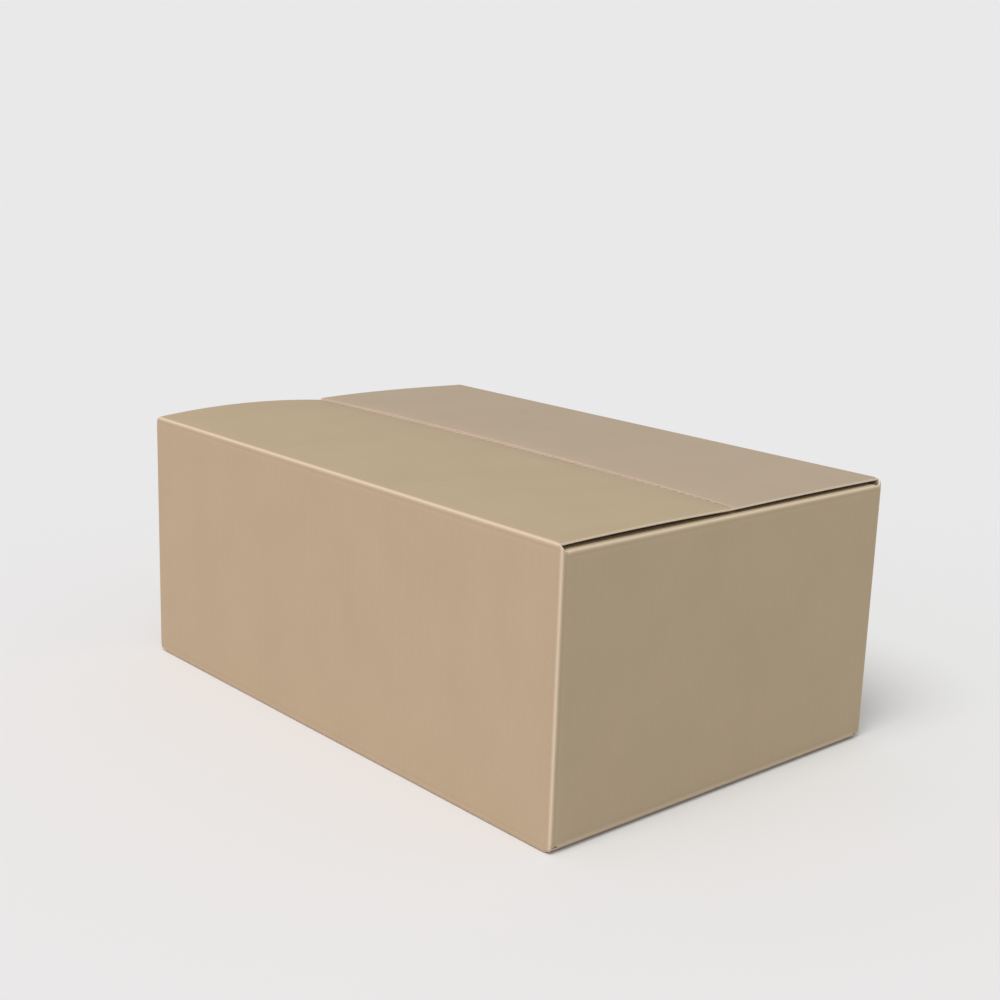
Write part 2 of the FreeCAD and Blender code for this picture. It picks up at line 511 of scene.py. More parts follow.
class Blank:
    """The flat sheet's lines, and where folding puts each of their crossings."""

    def __init__(
        self, size: CartonSize, board: Board, shapes: dict[Panel, FlapShape], detail: Detail,
    ) -> None:
        """Lay out the lines.

        Args:
            size: the closed carton's sizes.
            board: the board it is folded from.
            shapes: how the outer top flaps rise.
            detail: how finely to divide the sheet.
        """
        self.size = size
        self.board = board
        self.shapes = shapes
        self.detail = detail
        self.columns = self.lay_columns()
        long_rows = self.lay_rows(0.0, size.height, size.outer_flap_depth, size.fold)
        end_rows = self.lay_rows(size.board, size.wall_top, size.inner_flap_depth, size.pressed_fold)
        self.rows = {panel: long_rows if panel.long else end_rows for panel in Panel}
        self.rows[Panel.TAB] = self.tab_rows(end_rows)

    def lay_columns(self) -> list[Column]:
        """Lay out the lines along the flutes, from the tab's tip round to the rear wall's cut edge.

        Returns:
            The columns, in their order along the sheet.
        """
        size, fold = self.size, self.size.fold
        x, y = size.length / 2.0, size.width / 2.0
        tab_y = y - size.board
        post = size.board + size.inner_flap_gap - fold
        joint = size.length / 2.0 - size.joint_setback - size.flap_end
        runs = (
            (Panel.TAB, (-x + size.board + size.tab_width, tab_y), (-x + fold, tab_y), 0.0, 0.0),
            (Panel.LEFT_END, (-x, tab_y - fold), (-x, -y + fold), 0.0, post),
            (Panel.FRONT, (-x + fold, -y), (x - fold, -y), 0.0, 0.0),
            (Panel.RIGHT_END, (x, -y + fold), (x, y - fold), post, post),
            (Panel.REAR, (x - fold, y), (-x + size.joint_setback, y), 0.0, joint),
        )
        columns: list[Column] = []
        along = 0.0
        for index, (panel, first, last, start_post, end_post) in enumerate(runs):
            start, end = Vector((*first, 0.0)), Vector((*last, 0.0))
            direction = (end - start).normalized()
            outward = Vector((direction.y, -direction.x, 0.0))
            span = (end - start).length
            for distance in self.stations(span, along, start_post, end_post):
                left = FAR if panel is Panel.TAB else distance
                right = FAR if panel is Panel.REAR else span - distance
                slot = min(distance - start_post, span - end_post - distance) - size.slit
                columns.append(Column(
                    along=along + distance,
                    panel=panel,
                    place=start + direction * distance,
                    outward=outward,
                    bend_distance=min(left, right),
                    ridge_distance=min(left, right) + size.ridge,
                    slot_distance=slot,
                    post=slot < -SAME_LINE or panel is Panel.TAB,
                    following=panel,
                    share=0.0,
                ))
            along += span
            if panel is Panel.REAR:
                break
            following = runs[index + 1][0]
            for step in range(1, self.detail.bend_steps):
                share = step / self.detail.bend_steps
                normal = Matrix.Rotation(share * math.pi / 2.0, 3, "Z") @ outward
                columns.append(Column(
                    along=along + 2.0 * size.ridge * share,
                    panel=panel,
                    place=end + (normal - outward) * fold,
                    outward=normal,
                    bend_distance=0.0,
                    ridge_distance=abs(2.0 * share - 1.0) * size.ridge,
                    slot_distance=-FAR,
                    post=True,
                    following=following,
                    share=share,
                ))
            along += 2.0 * size.ridge
        return columns

    def stations(self, span: float, along: float, start_post: float, end_post: float) -> list[float]:
        """Distances of the lines along one flat run of the walls.

        Args:
            span: the run's length.
            along: the run's start along the blank, which the even lines are counted from.
            start_post: width of the corner's own strip at the start.
            end_post: the same at the end.
        Returns:
            The distances from the run's start, in order.
        """
        slit, step = self.size.slit, self.detail.step
        wanted = {0.0, start_post, start_post + slit, span - end_post - slit, span - end_post, span}
        wanted |= {distance for near in self.detail.near_bend for distance in (near, span - near)}
        evens = range(math.ceil(along / step), math.floor((along + span) / step) + 1)
        kept = [even * step - along for even in evens]
        wanted |= {place for place in kept if all(abs(place - other) > slit for other in wanted)}
        merged: list[float] = []
        for place in sorted(wanted):
            if not merged or place - merged[-1] > SAME_LINE:
                merged.append(place)
        return merged

    def lay_rows(self, bottom: float, top: float, depth: float, low_fold: float) -> list[Row]:
        """Lay out the lines across the flutes on one kind of panel, with its two flaps folded in.

        Args:
            bottom: height of the bottom flap's outside.
            top: height of the top flap's outside.
            depth: distance from the panel's outside to its flaps' free edges.
            low_fold: outside radius of the bottom crease.
        Returns:
            The rows from the bottom flap's free edge to the top flap's.
        """
        detail = self.detail
        low, high = Bend(-1, bottom, low_fold), Bend(1, top, self.size.fold)
        span = high.root - low.root
        far = detail.near_bend[-1]
        walls = [0.0, *detail.near_bend]
        evens = range(1, detail.wall_lines)
        walls += [mix(far, span - far, even / detail.wall_lines) for even in evens]
        walls += [span - near for near in reversed(walls[:len(detail.near_bend) + 1])]
        rows = [
            Row(
                up=distance,
                inset=0.0,
                height=low.root + distance,
                straight_height=low.root + distance,
                turn=0.0,
                side=1,
                bend_distance=min(distance, span - distance),
                ridge_distance=min(distance + low.ridge, span - distance + high.ridge),
                edge_distance=FAR,
            )
            for distance in walls
        ]
        for bend, start in ((low, 0.0), (high, span)):
            reach = depth - bend.radius
            steps = range(1, detail.bend_steps)
            folded = [bend.bend_row(start, step / detail.bend_steps) for step in steps]
            folded += [bend.flap_row(start, distance, reach) for distance in self.flap_stations(reach)]
            rows = folded[::-1] + rows if bend.side < 0 else rows + folded
        return rows

    def flap_stations(self, reach: float) -> list[float]:
        """Distances of a flap's lines from its crease's bend.

        Args:
            reach: the free edge's distance from the bend.
        Returns:
            The distances, in order.
        """
        detail = self.detail
        near, far = detail.near_bend[-1], reach - detail.near_edge[-1]
        even = [mix(near, far, (index + 1) / detail.flap_lines) for index in range(detail.flap_lines)]
        edge = [reach - distance for distance in reversed(detail.near_edge[:-1])]
        return [0.0, *detail.near_bend, *even, *edge, reach]

    def tab_rows(self, end_rows: list[Row]) -> list[Row]:
        """The end walls' rows pressed together into the glue tab's height.

        Args:
            end_rows: the end walls' rows.
        Returns:
            The tab's rows, as many as the end walls'.
        """
        size = self.size
        low = 2.0 * size.board + size.tab_gap
        high = size.wall_top - size.board - size.tab_gap
        span = size.wall_top - size.board - size.fold - size.pressed_fold
        rows = []
        for row in end_rows:
            height = mix(low, high, row.up / span)
            rows.append(replace(
                row, inset=0.0, height=height, straight_height=height,
                bend_distance=FAR, ridge_distance=FAR, edge_distance=FAR,
            ))
        return rows

    def row(self, column: Column, index: int) -> Row:
        """A row as it lies at a column: straight up, without flaps, where the column is at a corner.

        Beside a long wall the corner's own strip curls over with that wall's crease.

        Args:
            column: the line along the flutes.
            index: the row's number.
        Returns:
            The row there.
        """
        one, two = self.rows[column.panel][index], self.rows[column.following][index]
        if not column.post:
            return one
        height = mix(one.straight_height, two.straight_height, column.share)
        if column.panel is Panel.TAB and column.share == 0.0:
            height = self.tapered(column.along, height)
        beside_long = column.panel.long or column.following.long
        long, curl = (one, 1.0 - column.share) if column.panel.long else (two, column.share)
        curl = curl if beside_long else 0.0
        return Row(
            up=one.up,
            inset=long.inset * curl,
            height=mix(height, long.height, curl),
            straight_height=height,
            turn=long.turn * curl,
            side=long.side,
            bend_distance=mix(one.bend_distance, two.bend_distance, column.share),
            ridge_distance=mix(one.ridge_distance, two.ridge_distance, column.share),
            edge_distance=FAR,
        )

    def tapered(self, along: float, height: float) -> float:
        """Height of a line of the glue tab, whose ends slope towards its tip.

        Args:
            along: place along the sheet, from the tab's tip.
            height: the line's height at the tab's root.
        Returns:
            The height there.
        """
        middle = self.size.wall_top / 2.0
        slope = 1.0 - min(1.0, along / self.size.tab_width)
        return height - self.size.tab_taper * slope * (height - middle) / middle

    @staticmethod
    def edge_distance(column: Column, row: Row) -> float:
        """Distance to the nearest cut edge: a flap's free edge, or a slot's side or end.

        Args:
            column: the point's line along the flutes.
            row: its line across the flutes.
        Returns:
            The distance.
        """
        below = row.ridge_distance if row.turn < SLOT_END else 0.0
        beside = max(0.0, column.slot_distance)
        return min(row.edge_distance, math.hypot(below, beside))

    def fold(self, column: Column, index: int, ply: Ply, face: int) -> Vector:
        """Where folding puts a point of the blank.

        Args:
            column: the point's line along the flutes.
            index: the number of its line across the flutes.
            ply: the paper that it lies on.
            face: 0 for the paper's outward face, 1 for its inward face.
        Returns:
            The point in the carton's frame.
        """
        row, board = self.row(column, index), self.board
        scored = board.thickness * min(board.crush(column.bend_distance), board.crush(row.bend_distance))
        total = scored * board.pinch(self.edge_distance(column, row))
        sunk = (scored - total) * board.sink(row.side)
        sunk += max(board.groove(column.bend_distance), board.groove(row.bend_distance))
        depth = sunk + board.depths(ply, column.along, total, row.edge_distance)[face]
        point = column.place - column.outward * row.inset + UP * row.height
        normal = column.outward * row.out + UP * row.lift
        shape = self.shapes.get(column.panel)
        if shape and row.side > 0 and row.inset > 0.0:
            across = column.place.x / self.size.flap_end
            point += UP * shape.rise(across, row.inset / self.size.outer_flap_depth)
        return point - normal * depth

    def wear_and_highlight(self, column: Column, index: int) -> float:
        """How much a point of the blank is scuffed at cut edges and paled along crease ridges, partly by a
        painted highlight.

        Args:
            column: the point's line along the flutes.
            index: the number of its line across the flutes.
        Returns:
            The scuffing and painted highlight, from 0 to 1.
        """
        row = self.row(column, index)
        ridge = min(column.ridge_distance, row.ridge_distance)
        return self.board.wear_and_highlight(ridge, self.edge_distance(column, row))

    def flap_shade_share(self, column: Column, index: int) -> float:
        """How much painted shade a point gets, from 0 to 1: only the rear top flap gets it, darker and
        bluer, standing in for how the light falls differently on that flap.
        """
        row = self.row(column, index)
        return row.turn if column.panel is Panel.REAR and row.side > 0 else 0.0

    def cell(self, left: int, low: int) -> "Cell":
        """The grid's cell that starts at a column and a row."""
        rows = self.rows[self.columns[left].panel]
        return Cell(self.columns[left], self.columns[left + 1], rows[low], rows[low + 1])


@dataclass(frozen=True)
class Cell:
    """One face of the blank's grid, between two columns and two rows."""

    left: Column
    right: Column
    low: Row
    high: Row

    @property
    def panel(self) -> Panel:
        """The panel that the cell lies on."""
        return self.left.panel

    @property
    def turn(self) -> float:
        """How far the cell has passed round a crease, from 0 on the wall to 1 on a flap."""
        return max(self.low.turn, self.high.turn)

    @property
    def on_wall(self) -> bool:
        """Whether the cell lies on an upright wall."""
        return self.turn == 0.0

    @property
    def on_panel(self) -> bool:
        """Whether the cell belongs to the panel proper, and folds with its flaps."""
        return not self.left.post and not self.right.post

    @property
    def on_post(self) -> bool:
        """Whether the cell belongs to a corner's own strip, between two slots."""
        return self.left.post and self.right.post


@dataclass(frozen=True)
class Finishes:
    """The finish of each paper, and of the papers' cut edges."""

    papers: dict[Ply, bpy.types.Material]
    cut_edge: bpy.types.Material


class SheetPiece:
    """A piece of the folded sheet: the cells that it keeps, in all three papers."""

    sharp_angle = math.radians(50.0)

    def __init__(self, name: str, blanks: dict[Ply, Blank], keeps: Callable[[Cell], bool]) -> None:
        """Describe the piece.

        Args:
            name: the object's name.
            blanks: the flat sheet as each paper divides it.
            keeps: whether a cell belongs to the piece.
        """
        self.name = name
        self.blanks = blanks
        self.keeps = keeps

    def build(self, finishes: Finishes) -> bpy.types.Object:
        """Build the piece's mesh from its three papers.

        Args:
            finishes: the papers' materials.
        Returns:
            The new object, at the origin.
        """
        mesh = bpy.data.meshes.new(self.name)
        for ply in Ply:
            mesh.materials.append(finishes.papers[ply])
        mesh.materials.append(finishes.cut_edge)
        whole = bmesh.new()
        for ply in Ply:
            sheet = bpy.data.meshes.new("paper")
            self.fill_paper(sheet, ply)
            whole.from_mesh(sheet)
            bpy.data.meshes.remove(sheet)
        whole.to_mesh(mesh)
        whole.free()
        mesh.shade_smooth()
        mesh.set_sharp_from_angle(angle=self.sharp_angle)
        piece = stand(self.name, mesh)
        triangles = sum(len(face.vertices) - 2 for face in mesh.polygons)
        log.info("%s: %d triangles", self.name, triangles)
        return piece

    def fill_paper(self, mesh: bpy.types.Mesh, ply: Ply) -> None:
        """Fill a mesh with one paper of the piece, a closed thin sheet.

        Args:
            mesh: the empty mesh.
            ply: which paper.
        """
        blank = self.blanks[ply]
        bm = bmesh.new()
        self.lay_flat(bm, blank, ply)
        made = bmesh.ops.extrude_face_region(bm, geom=list(bm.faces), use_keep_orig=True)
        inner = {item for item in made["geom"] if isinstance(item, bmesh.types.BMVert)}
        self.mark_faces(bm, blank, inner)
        self.fold_up(bm, blank, ply, inner)
        bmesh.ops.recalc_face_normals(bm, faces=bm.faces)
        bm.to_mesh(mesh)
        bm.free()

    def lay_flat(self, bm: bmesh.types.BMesh, blank: Blank, ply: Ply) -> None:
        """Lay a paper out as a flat grid, cut to the cells that the piece keeps.

        Args:
            bm: the empty mesh.
            blank: the flat sheet as this paper divides it.
            ply: which paper.
        """
        bm.loops.layers.uv.new(UV_LAYER)
        bm.verts.layers.float.new(CREASE_LAYER)
        bm.verts.layers.float.new(FLAP_SHADE_LAYER)
        across = bm.verts.layers.int.new(COLUMN_LAYER)
        upward = bm.verts.layers.int.new(ROW_LAYER)
        count_x, count_y = len(blank.columns) - 1, len(blank.rows[Panel.FRONT]) - 1
        bmesh.ops.create_grid(bm, x_segments=count_x, y_segments=count_y, size=1.0)
        for vert in bm.verts:
            vert[across] = round((vert.co.x + 1.0) / 2.0 * count_x)
            vert[upward] = round((vert.co.y + 1.0) / 2.0 * count_y)
        waste = []
        for face in bm.faces:
            face.material_index = ply.value
            left = min(vert[across] for vert in face.verts)
            low = min(vert[upward] for vert in face.verts)
            if not self.keeps(blank.cell(left, low)):
                waste.append(face)
        bmesh.ops.delete(bm, geom=waste, context="FACES")

    @staticmethod
    def mark_faces(bm: bmesh.types.BMesh, blank: Blank, inner: set[bmesh.types.BMVert]) -> None:
        """Give the cut edges their own material, and every corner its place on the blank.

        Args:
            bm: the flat paper, with its two faces apart.
            blank: the flat sheet as this paper divides it.
            inner: the inward face's vertices.
        """
        uv = bm.loops.layers.uv[UV_LAYER]
        across, upward = bm.verts.layers.int[COLUMN_LAYER], bm.verts.layers.int[ROW_LAYER]
        for face in bm.faces:
            if 0 < sum(vert in inner for vert in face.verts) < len(face.verts):
                face.material_index = len(Ply)
            for loop in face.loops:
                column = blank.columns[loop.vert[across]]
                loop[uv].uv = (column.along, blank.row(column, loop.vert[upward]).up)

    @staticmethod
    def fold_up(bm: bmesh.types.BMesh, blank: Blank, ply: Ply, inner: set[bmesh.types.BMVert]) -> None:
        """Fold a flat paper into place, and note its scuffing with the painted crease highlight, and the
        rear top flap's painted shade.

        Args:
            bm: the flat paper, with its two faces apart.
            blank: the flat sheet as this paper divides it.
            ply: which paper.
            inner: the inward face's vertices.
        """
        crease, grey = bm.verts.layers.float[CREASE_LAYER], bm.verts.layers.float[FLAP_SHADE_LAYER]
        across, upward = bm.verts.layers.int[COLUMN_LAYER], bm.verts.layers.int[ROW_LAYER]
        for vert in bm.verts:
            column, index = blank.columns[vert[across]], vert[upward]
            vert.co = blank.fold(column, index, ply, int(vert in inner))
            # Scuffing with the painted crease highlight, and the rear top flap's painted shade.
            vert[crease] = blank.wear_and_highlight(column, index)
            vert[grey] = blank.flap_shade_share(column, index)


class Socket:
    """A shader value that Python's arithmetic adds Math nodes to."""

    def __init__(self, tree: "Tree", output: bpy.types.NodeSocket) -> None:
        """Wrap a node's output."""
        self.tree = tree
        self.output = output

    def _math(self, operation: str, first: Any, second: Any) -> "Socket":
        """Add a Math node over two values or links."""
        return self.tree.add("ShaderNodeMath", {"operation": operation}, {0: first, 1: second})

    def __add__(self, other: Any) -> "Socket":
        """Sum."""
        return self._math("ADD", self, other)

    def __radd__(self, other: Any) -> "Socket":
        """Sum with a number first."""
        return self._math("ADD", other, self)

    def __sub__(self, other: Any) -> "Socket":
        """Difference."""
        return self._math("SUBTRACT", self, other)

    def __rsub__(self, other: Any) -> "Socket":
        """Difference from a number."""
        return self._math("SUBTRACT", other, self)

    def __mul__(self, other: Any) -> "Socket":
        """Product."""
        return self._math("MULTIPLY", self, other)

    def __rmul__(self, other: Any) -> "Socket":
        """Product with a number first."""
        return self._math("MULTIPLY", other, self)

    def clamp(self) -> "Socket":
        """The value held between 0 and 1."""
        return self.tree.add("ShaderNodeClamp", {}, {"Value": self})

    def cosine(self) -> "Socket":
        """The value's cosine."""
        return self.tree.add("ShaderNodeMath", {"operation": "COSINE"}, {0: self})


class Tree:
    """The node tree of a material or a world, with one way to add a node."""

    def __init__(self, owner: bpy.types.Material | bpy.types.World) -> None:
        """Empty the owner's node tree.

        Args:
            owner: the material or the world.
        """
        owner.use_nodes = True
        self.owner = owner
        self.nodes = owner.node_tree.nodes
        self.links = owner.node_tree.links
        self.nodes.clear()

    def place(self, kind: str, settings: dict[str, Any], inputs: dict[Any, Any]) -> bpy.types.Node:
        """Add a node.

        Args:
            kind: the node's type.
            settings: its own properties, set first.
            inputs: values or sockets for its inputs, by name or number.
        Returns:
            The node.
        """
        node = self.nodes.new(kind)
        for name, value in settings.items():
            setattr(node, name, value)
        for key, value in inputs.items():
            if isinstance(value, Socket):
                self.links.new(value.output, node.inputs[key])
            else:
                node.inputs[key].default_value = value
        return node

    def add(self, kind: str, settings: dict[str, Any], inputs: dict[Any, Any], output: Any = 0) -> Socket:
        """Add a node and wrap one of its outputs, chosen by name or number."""
        return Socket(self, self.place(kind, settings, inputs).outputs[output])

    def blend(self, share: Any, first: Any, second: Any, mode: str = "MIX") -> Socket:
        """Mix two colours by a share."""
        inputs = {MIX_SHARE: share, MIX_FIRST: first, MIX_SECOND: second}
        return self.add("ShaderNodeMix", {"data_type": "RGBA", "blend_type": mode}, inputs, MIX_RESULT)

    def finish(
        self, color: Any, roughness: Any, height: Any, bump: float, specular: float,
    ) -> bpy.types.Material:
        """Close a material's tree with a Principled shader.

        Args:
            color: the base colour.
            roughness: the roughness.
            height: the surface's height, in metres.
            bump: the bump's strength.
            specular: the specular level.
        Returns:
            The material.
        """
        normal = self.add("ShaderNodeBump", {}, {"Strength": bump, "Distance": 1.0, "Height": height})
        shader = self.add("ShaderNodeBsdfPrincipled", {}, {
            "Base Color": color, "Roughness": roughness, "Normal": normal, "Specular IOR Level": specular,
        })
        self.place("ShaderNodeOutputMaterial", {}, {"Surface": shader})
        return self.owner


@dataclass(frozen=True)
class Grain:
    """Noise that is stretched by its scales, per metre of the blank, and has finer layers."""

    across: float
    up: float
    layers: float
    coarseness: float = 0.55

    def build(self, tree: Tree, blank: Socket) -> Socket:
        """Add the noise.

        Args:
            tree: the material's tree.
            blank: the blank's coordinates.
        Returns:
            The noise, around 0.5.
        """
        scales = (self.across, self.up, 1.0)
        stretched = tree.add("ShaderNodeMapping", {}, {"Vector": blank, "Scale": scales})
        return tree.add("ShaderNodeTexNoise", {"noise_dimensions": "2D"}, {
            "Vector": stretched, "Scale": 1.0, "Detail": self.layers, "Roughness": self.coarseness,
        })


@dataclass(frozen=True)
class KraftPaper:
    """Brown kraft paper: fibres along the sheet, soft clouds, dark flecks, the flutes' washboard ripple as a
    bump and as painted shade, paler scuffed edges and crease ridges whose paleness is partly a painted
    highlight, and a painted shade on the rear top flap.
    """

    name: str
    dark: Colour
    light: Colour
    # Pale colour for scuffed edges and for crease ridges, where it is partly a painted highlight.
    worn: Colour
    flute_pitch: float
    # Strength of the painted shade of the washboard ripple between flutes.
    flute_shade: float = 0.03
    roughness: float = 0.85
    # Painted shade for the rear top flap: a darker, bluer multiplier.
    painted_flap_shade: Colour = (0.951, 0.954, 1.060, 1.0)
    fibres: Grain = Grain(across=350.0, up=2600.0, layers=3.0)
    fibre_show: float = 1.1
    clouds: Grain = Grain(across=22.0, up=16.0, layers=3.0)
    cloud_show: float = 0.7
    flecks: Grain = Grain(across=1500.0, up=3400.0, layers=2.0)
    fleck_colour: Colour = (0.25, 0.18, 0.11, 1.0)
    fleck_level: float = 0.66
    fleck_sharpness: float = 9.0
    fleck_show: float = 0.25
    # How unevenly the fibres break up the scuffing and the painted crease highlight.
    wear_and_highlight_unevenness: float = 0.8
    roughness_unevenness: float = 0.12
    fibre_height: float = 0.04 * MM
    cloud_height: float = 0.2 * MM
    flute_height: float = 0.012 * MM
    fleck_height: float = 0.02 * MM
    bump: float = 0.5
    specular: float = 0.25

    def build(self) -> bpy.types.Material:
        """Make the material on the blank's own coordinates.

        Returns:
            The material.
        """
        tree = Tree(bpy.data.materials.new(self.name))
        blank = tree.add("ShaderNodeUVMap", {"uv_map": UV_LAYER}, {})
        along = tree.add("ShaderNodeSeparateXYZ", {}, {"Vector": blank})
        fibres = self.fibres.build(tree, blank)
        flecks = self.flecks.build(tree, blank)
        clouds = self.clouds.build(tree, blank)
        flutes = (along * (2.0 * math.pi / self.flute_pitch)).cosine()
        # The crease attribute carries scuffing and the painted crease highlight; the grey attribute carries
        # the rear top flap's painted shade.
        crease = tree.add("ShaderNodeAttribute", {"attribute_name": CREASE_LAYER}, {}, "Fac")
        grey = tree.add("ShaderNodeAttribute", {"attribute_name": FLAP_SHADE_LAYER}, {}, "Fac")
        fibrous = 0.5 + (fibres - 0.5) * self.fibre_show
        # The flutes' term paints the washboard ripple's shade into the colour.
        shade = fibrous + (clouds - 0.5) * self.cloud_show + flutes * self.flute_shade
        even = tree.blend(shade.clamp(), self.dark, self.light)
        # Painted shade: the rear top flap multiplied darker and bluer.
        base = tree.blend(grey, even, self.painted_flap_shade, "MULTIPLY")
        specks = ((flecks - self.fleck_level) * self.fleck_sharpness).clamp()
        flecked = tree.blend(specks * self.fleck_show, base, self.fleck_colour)
        # Paler where scuffed, and along crease ridges a painted highlight of the fold lit from above.
        worn = (crease * (1.0 + (fibres - 0.5) * self.wear_and_highlight_unevenness)).clamp()
        color = tree.blend(worn, flecked, self.worn)
        rough = self.roughness + (fibres - 0.5) * self.roughness_unevenness
        soft = fibres * self.fibre_height + clouds * self.cloud_height
        height = soft + flutes * self.flute_height + flecks * self.fleck_height
        return tree.finish(color, rough, height, self.bump, self.specular)


@dataclass(frozen=True)
class PlainFinish:
    """A plain matte finish for the floor."""

    name: str
    color: Colour
    roughness: float = 0.95
    grain_scale: float = 40.0
    grain_height: float = 0.1 * MM
    bump: float = 0.05
    specular: float = 0.0

    def build(self) -> bpy.types.Material:
        """Make the material.

        Returns:
            The material.
        """
        tree = Tree(bpy.data.materials.new(self.name))
        grain = tree.add("ShaderNodeTexNoise", {}, {"Scale": self.grain_scale})
        return tree.finish(self.color, self.roughness, grain * self.grain_height, self.bump, self.specular)


@dataclass(frozen=True)
class Hanging:
    """How a piece hangs on the frame: the body it rides on, and what it replaces or bends to."""

    body: str
    replaced: str | None = None
    bends_to: str | None = None


@dataclass
class Carton:
    """The carton: its folded body, its two outer flaps and the creases that join them."""

    size: CartonSize
    board: Board
    front_shape: FlapShape = FlapShape(
        arch_left=4.4 * MM, arch_right=1.0 * MM,
        edge_left=-0.2 * MM, edge_middle=1.8 * MM, edge_right=-0.2 * MM,
    )
    rear_shape: FlapShape = FlapShape(
        arch_left=1.4 * MM, arch_right=0.4 * MM,
        edge_left=1.5 * MM, edge_middle=3.7 * MM, edge_right=-0.1 * MM,
    )
    body_name: str = "carton_sheet"

    def __post_init__(self) -> None:
        """Lay out the flat sheet as each paper divides it, coarsely for the body's fluting."""
        wave = self.board.pitch / self.board.wave_steps
        liner = Detail.of_liner(self.size.hinge_strip)
        self.body_blanks = self.lay_blanks(liner, Detail.of_fluting(self.size.hinge_strip, wave))
        self.flap_blanks = self.lay_blanks(liner, replace(liner, step=wave))

    def lay_blanks(self, liner: Detail, fluting: Detail) -> dict[Ply, Blank]:
        """Lay out the flat sheet for each paper.

        Args:
            liner: how finely the liners are divided.
            fluting: how finely the fluted paper is divided.
        Returns:
            The flat sheet as each paper divides it.
        """
        shapes = {Panel.FRONT: self.front_shape, Panel.REAR: self.rear_shape}
        flat = Blank(self.size, self.board, shapes, liner)
        waved = Blank(self.size, self.board, shapes, fluting)
        return {Ply.OUTER_LINER: flat, Ply.FLUTING: waved, Ply.INNER_LINER: flat}

    def piece_of(self, cell: Cell) -> str | None:
        """Name of the piece that a cell of the blank belongs to.

        Args:
            cell: the cell.
        Returns:
            The name, or nothing where the blank is slotted.
        """
        if not cell.on_panel:
            return self.body_name if cell.on_wall or self.at_slot_root(cell) else None
        if cell.panel is Panel.TAB and not cell.on_wall:
            return None
        if not cell.panel.long or cell.high.side < 0 or cell.low.height < self.strip_start:
            return self.body_name
        in_strip = cell.high.inset < self.strip_end
        return f"{cell.panel.value}_flap_crease" if in_strip else f"{cell.panel.value}_flap_board"

    @property
    def strip_start(self) -> float:
        """Height at which the strips begin that the outer flaps turn on, less room for rounding."""
        return self.size.height - self.size.fold - self.size.hinge_strip - self.size.rounding

    @property
    def strip_end(self) -> float:
        """Depth from a long wall's outside at which those strips end, with room for rounding."""
        return self.size.fold + self.size.hinge_strip + self.size.rounding

    @staticmethod
    def at_slot_root(cell: Cell) -> bool:
        """Whether a cell of a corner's own strip lies below the slot's end."""
        glued = Panel.TAB in (cell.left.panel, cell.right.panel)
        return cell.on_post and not glued and cell.turn <= SLOT_END

    def hangings(self) -> dict[str, Hanging]:
        """How each piece hangs on the frame.

        Returns:
            The hangings by the pieces' names.
        """
        return {
            self.body_name: Hanging("carton", replaced="carton_body"),
            "front_flap_crease": Hanging("carton", bends_to="front_flap"),
            "front_flap_board": Hanging("front_flap", replaced="front_outer_flap"),
            "rear_flap_crease": Hanging("carton", bends_to="rear_flap"),
            "rear_flap_board": Hanging("rear_flap", replaced="rear_outer_flap"),
        }

    def build(self, finishes: Finishes) -> None:
        """Build every piece and hang it on the frame.

        Args:
            finishes: the papers' materials.
        """
        for name, hanging in self.hangings().items():
            blanks = self.body_blanks if name == self.body_name else self.flap_blanks
            piece = SheetPiece(name, blanks, lambda cell, name=name: self.piece_of(cell) == name)
            made = piece.build(finishes)
            if hanging.bends_to:
                self.bend(made, hanging)
            else:
                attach(made, hanging.body)
                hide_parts(hanging.replaced)

    def bend(self, made: bpy.types.Object, hanging: Hanging) -> None:
        """Let a crease bend between the wall and its flap.

        Args:
            made: the crease's object.
            hanging: the bodies it bends between.
        """
        side = -1.0 if hanging.bends_to == "front_flap" else 1.0
        reach = self.size.fold + self.size.hinge_margin
        wall, top = side * self.size.width / 2.0, self.size.height
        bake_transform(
            made, hanging.body, hanging.bends_to,
            start=(0.0, wall, top - reach), end=(0.0, wall - side * reach, top),
        )


@dataclass(frozen=True)
class Lamp:
    """A distant soft light: where it shines from, how strongly, how wide and in what colour."""

    name: str
    towards: tuple[float, float, float]
    level: float
    spread: float
    color: tuple[float, float, float] = (1.0, 1.0, 1.0)
    distance: float = 4.0

    @property
    def direction(self) -> Vector:
        """Unit direction from the carton to the light."""
        return Vector(self.towards).normalized()

    def build(self) -> None:
        """Hang the light."""
        data = bpy.data.lights.new(self.name, "SUN")
        data.energy = self.level * math.pi
        data.angle = math.radians(self.spread)
        data.color = self.color
        lamp = stand(self.name, data)
        lamp.location = self.direction * self.distance
        lamp.rotation_mode = "QUATERNION"
        lamp.rotation_quaternion = (-self.direction).to_track_quat("-Z", "Y")


@dataclass(frozen=True)
class Viewpoint:
    """Where the photograph was taken from, its angles in degrees and its focal length in pixels."""

    place: tuple[float, float, float] = (0.8655, -0.7697, 0.4365)
    bearing: float = 48.2
    pitch: float = 13.58
    roll: float = 1.9
    focal_pixels: float = 1539.0
    frame_pixels: float = 1000.0
    sensor: float = 36.0
    nearest: float = 0.05
    farthest: float = 1000.0

    @property
    def back(self) -> Vector:
        """Direction straight back from what the camera looks at.

        Returns:
            The direction, of length one.
        """
        bearing, pitch = math.radians(self.bearing), math.radians(self.pitch)
        level = math.cos(pitch)
        return Vector((math.sin(bearing) * level, -math.cos(bearing) * level, math.sin(pitch)))

    def build(self) -> None:
        """Stand the camera there."""
        back = self.back
        turn = Matrix.Rotation(math.radians(self.roll), 3, back)
        right = turn @ UP.cross(back).normalized()
        up = back.cross(right)
        data = bpy.data.cameras.new("camera")
        data.sensor_width = self.sensor
        data.lens = self.focal_pixels / self.frame_pixels * self.sensor
        data.clip_start, data.clip_end = self.nearest, self.farthest
        camera = stand("camera", data)
        turned = Matrix((right, up, back)).transposed().to_4x4()
        camera.matrix_world = Matrix.Translation(Vector(self.place)) @ turned
        bpy.context.scene.camera = camera


